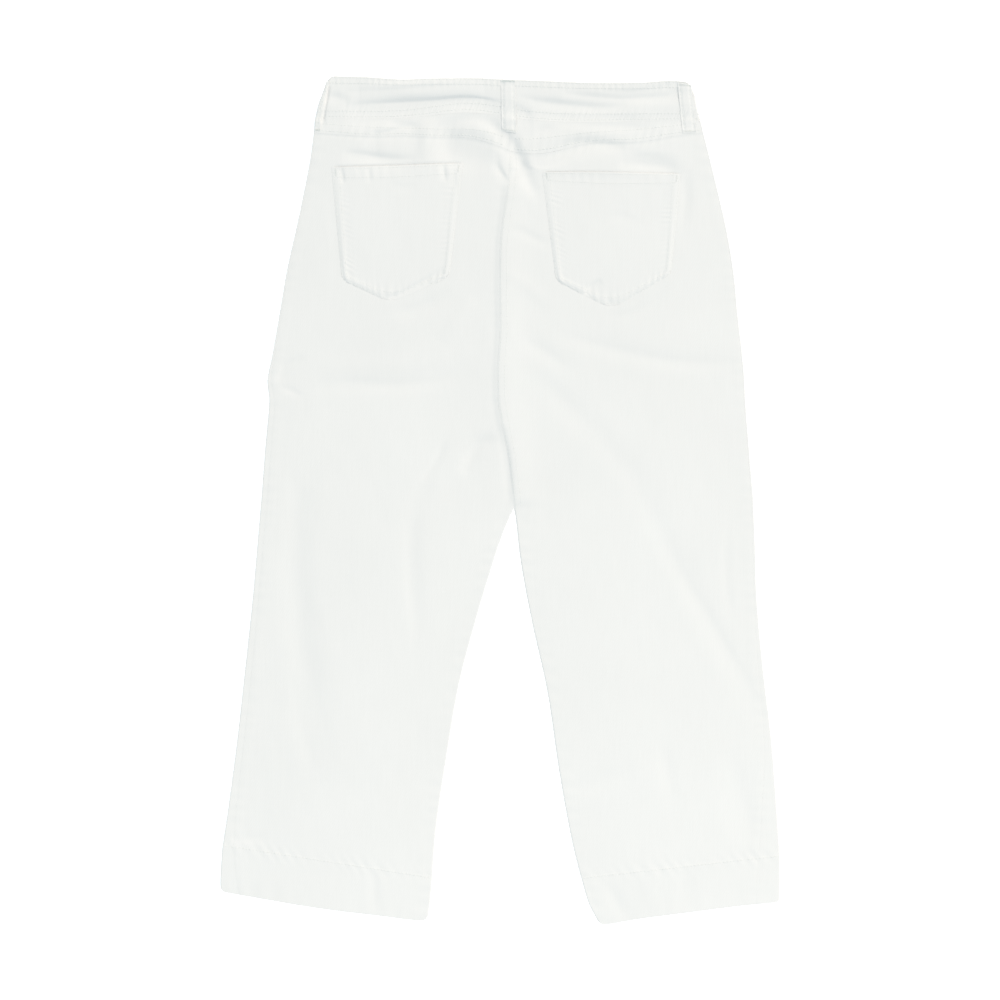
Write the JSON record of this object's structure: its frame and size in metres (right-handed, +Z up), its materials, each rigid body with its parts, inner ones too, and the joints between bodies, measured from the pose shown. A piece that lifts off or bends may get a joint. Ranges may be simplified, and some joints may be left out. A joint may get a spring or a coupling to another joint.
{
  "type": "cropped jeans",
  "caption": "White cropped jeans in stretch denim, laid flat with the back uppermost: yoke, patch pockets, belt loops and turned-up hems.",
  "frame": {"origin": "on the surface that the jeans lie on, under the middle of their bounding box", "axes": "+Z up from the surface, out of the back of the garment; +Y towards the waist; +X to the right seen from above, towards the wearer's right"},
  "size_m": [0.5588, 0.848, 0.0083],
  "materials": {
    "denim": "white stretch cotton denim, fine twill, washed soft",
    "thread": "white polyester sewing thread, matt",
    "button_metal": "satin nickel plating"
  },
  "bodies": {
    "root": {"back_left": "denim", "back_right": "denim", "front_left": "denim", "front_right": "denim", "yoke_left": "denim", "yoke_right": "denim", "waistband": "denim", "pocket_left": "denim", "pocket_right": "denim", "loop_left": "denim", "loop_centre": "denim", "loop_right": "denim", "button": "button_metal"}
  },
  "joints": []
}
